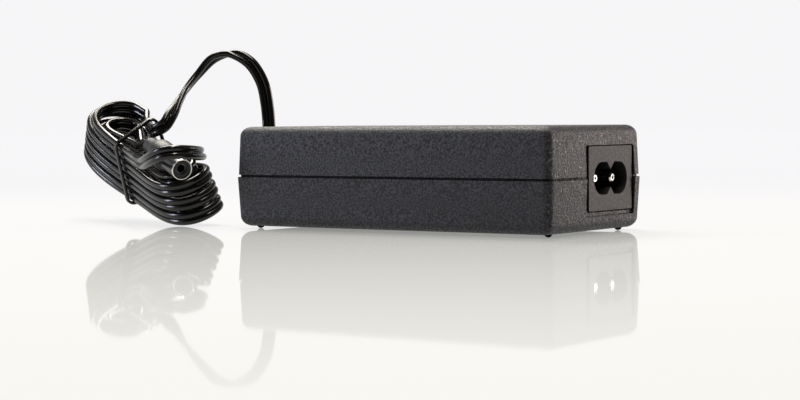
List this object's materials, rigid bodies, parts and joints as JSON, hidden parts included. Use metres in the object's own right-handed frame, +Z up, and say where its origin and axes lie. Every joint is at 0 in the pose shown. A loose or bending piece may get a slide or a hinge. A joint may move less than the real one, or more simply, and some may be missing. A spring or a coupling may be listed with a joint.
{
  "type": "laptop power adapter",
  "caption": "Laptop power adapter: a flat black case with a two-pin mains inlet at one end and a flat twin lead, wound in a tied hank, that ends in a barrel plug.",
  "frame": {"origin": "middle of the case's footprint, on the surface that its pips stand on", "axes": "+X along the case to the mains inlet, +Y across the case to the side the inlet is nearer to, +Z up"},
  "size_m": [0.1629, 0.0584, 0.0467],
  "materials": {
    "case_plastic": "fine spark texture",
    "socket_plastic": "smooth, satin",
    "cord_pvc": "soft gloss",
    "contact_metal": "bright nickel plate",
    "barrel_metal": "dark nickel plate",
    "clip_steel": "plain",
    "heatsink_aluminium": "plain",
    "shield_copper": "copper foil",
    "coil_wire": "enamelled copper wire",
    "ferrite": "sintered",
    "board": "phenolic paper laminate",
    "sheet": "insulating film",
    "part_black": "moulded epoxy",
    "bobbin": "moulded",
    "winding_tape": "polyester tape",
    "box_yellow": "potted box",
    "disc_blue": "dipped epoxy",
    "disc_green": "dipped epoxy",
    "capacitor_sleeve": "shrink sleeve",
    "wire_red": "wire insulation"
  },
  "bodies": {
    "root": {"upper_shell": "case_plastic", "lower_shell": "case_plastic", "inlet_body": "socket_plastic", "inlet_pin_live": "contact_metal", "inlet_pin_neutral": "contact_metal", "lower_shield": "heatsink_aluminium", "lower_insulator": "sheet", "upper_shield": "shield_copper", "upper_insulator": "sheet", "circuit_board": "board", "fuse": "part_black", "inrush_thermistor": "disc_green", "varistor": "disc_blue", "x_capacitor": "box_yellow", "choke_core": "ferrite", "choke_winding": "coil_wire", "bridge_rectifier": "part_black", "bulk_capacitor": "capacitor_sleeve", "primary_heatsink": "heatsink_aluminium", "main_switch": "part_black", "primary_clip": "clip_steel", "controller_chip": "part_black", "y_capacitor": "disc_blue", "optocoupler": "part_black", "transformer_core": "ferrite", "transformer_bobbin": "bobbin", "transformer_winding": "winding_tape", "secondary_heatsink": "heatsink_aluminium", "output_rectifier": "part_black", "secondary_clip": "clip_steel", "output_capacitors": "capacitor_sleeve", "output_inductor_core": "ferrite", "output_inductor_coil": "coil_wire", "output_wire_positive": "wire_red", "output_wire_return": "part_black", "strain_relief": "cord_pvc", "cord_lead": "cord_pvc", "cord_hank": "cord_pvc", "cord_tail": "cord_pvc", "cord_tie": "cord_pvc", "plug_grip": "cord_pvc", "plug_barrel": "barrel_metal", "plug_insulator": "part_black", "plug_contact": "contact_metal"}
  },
  "joints": []
}
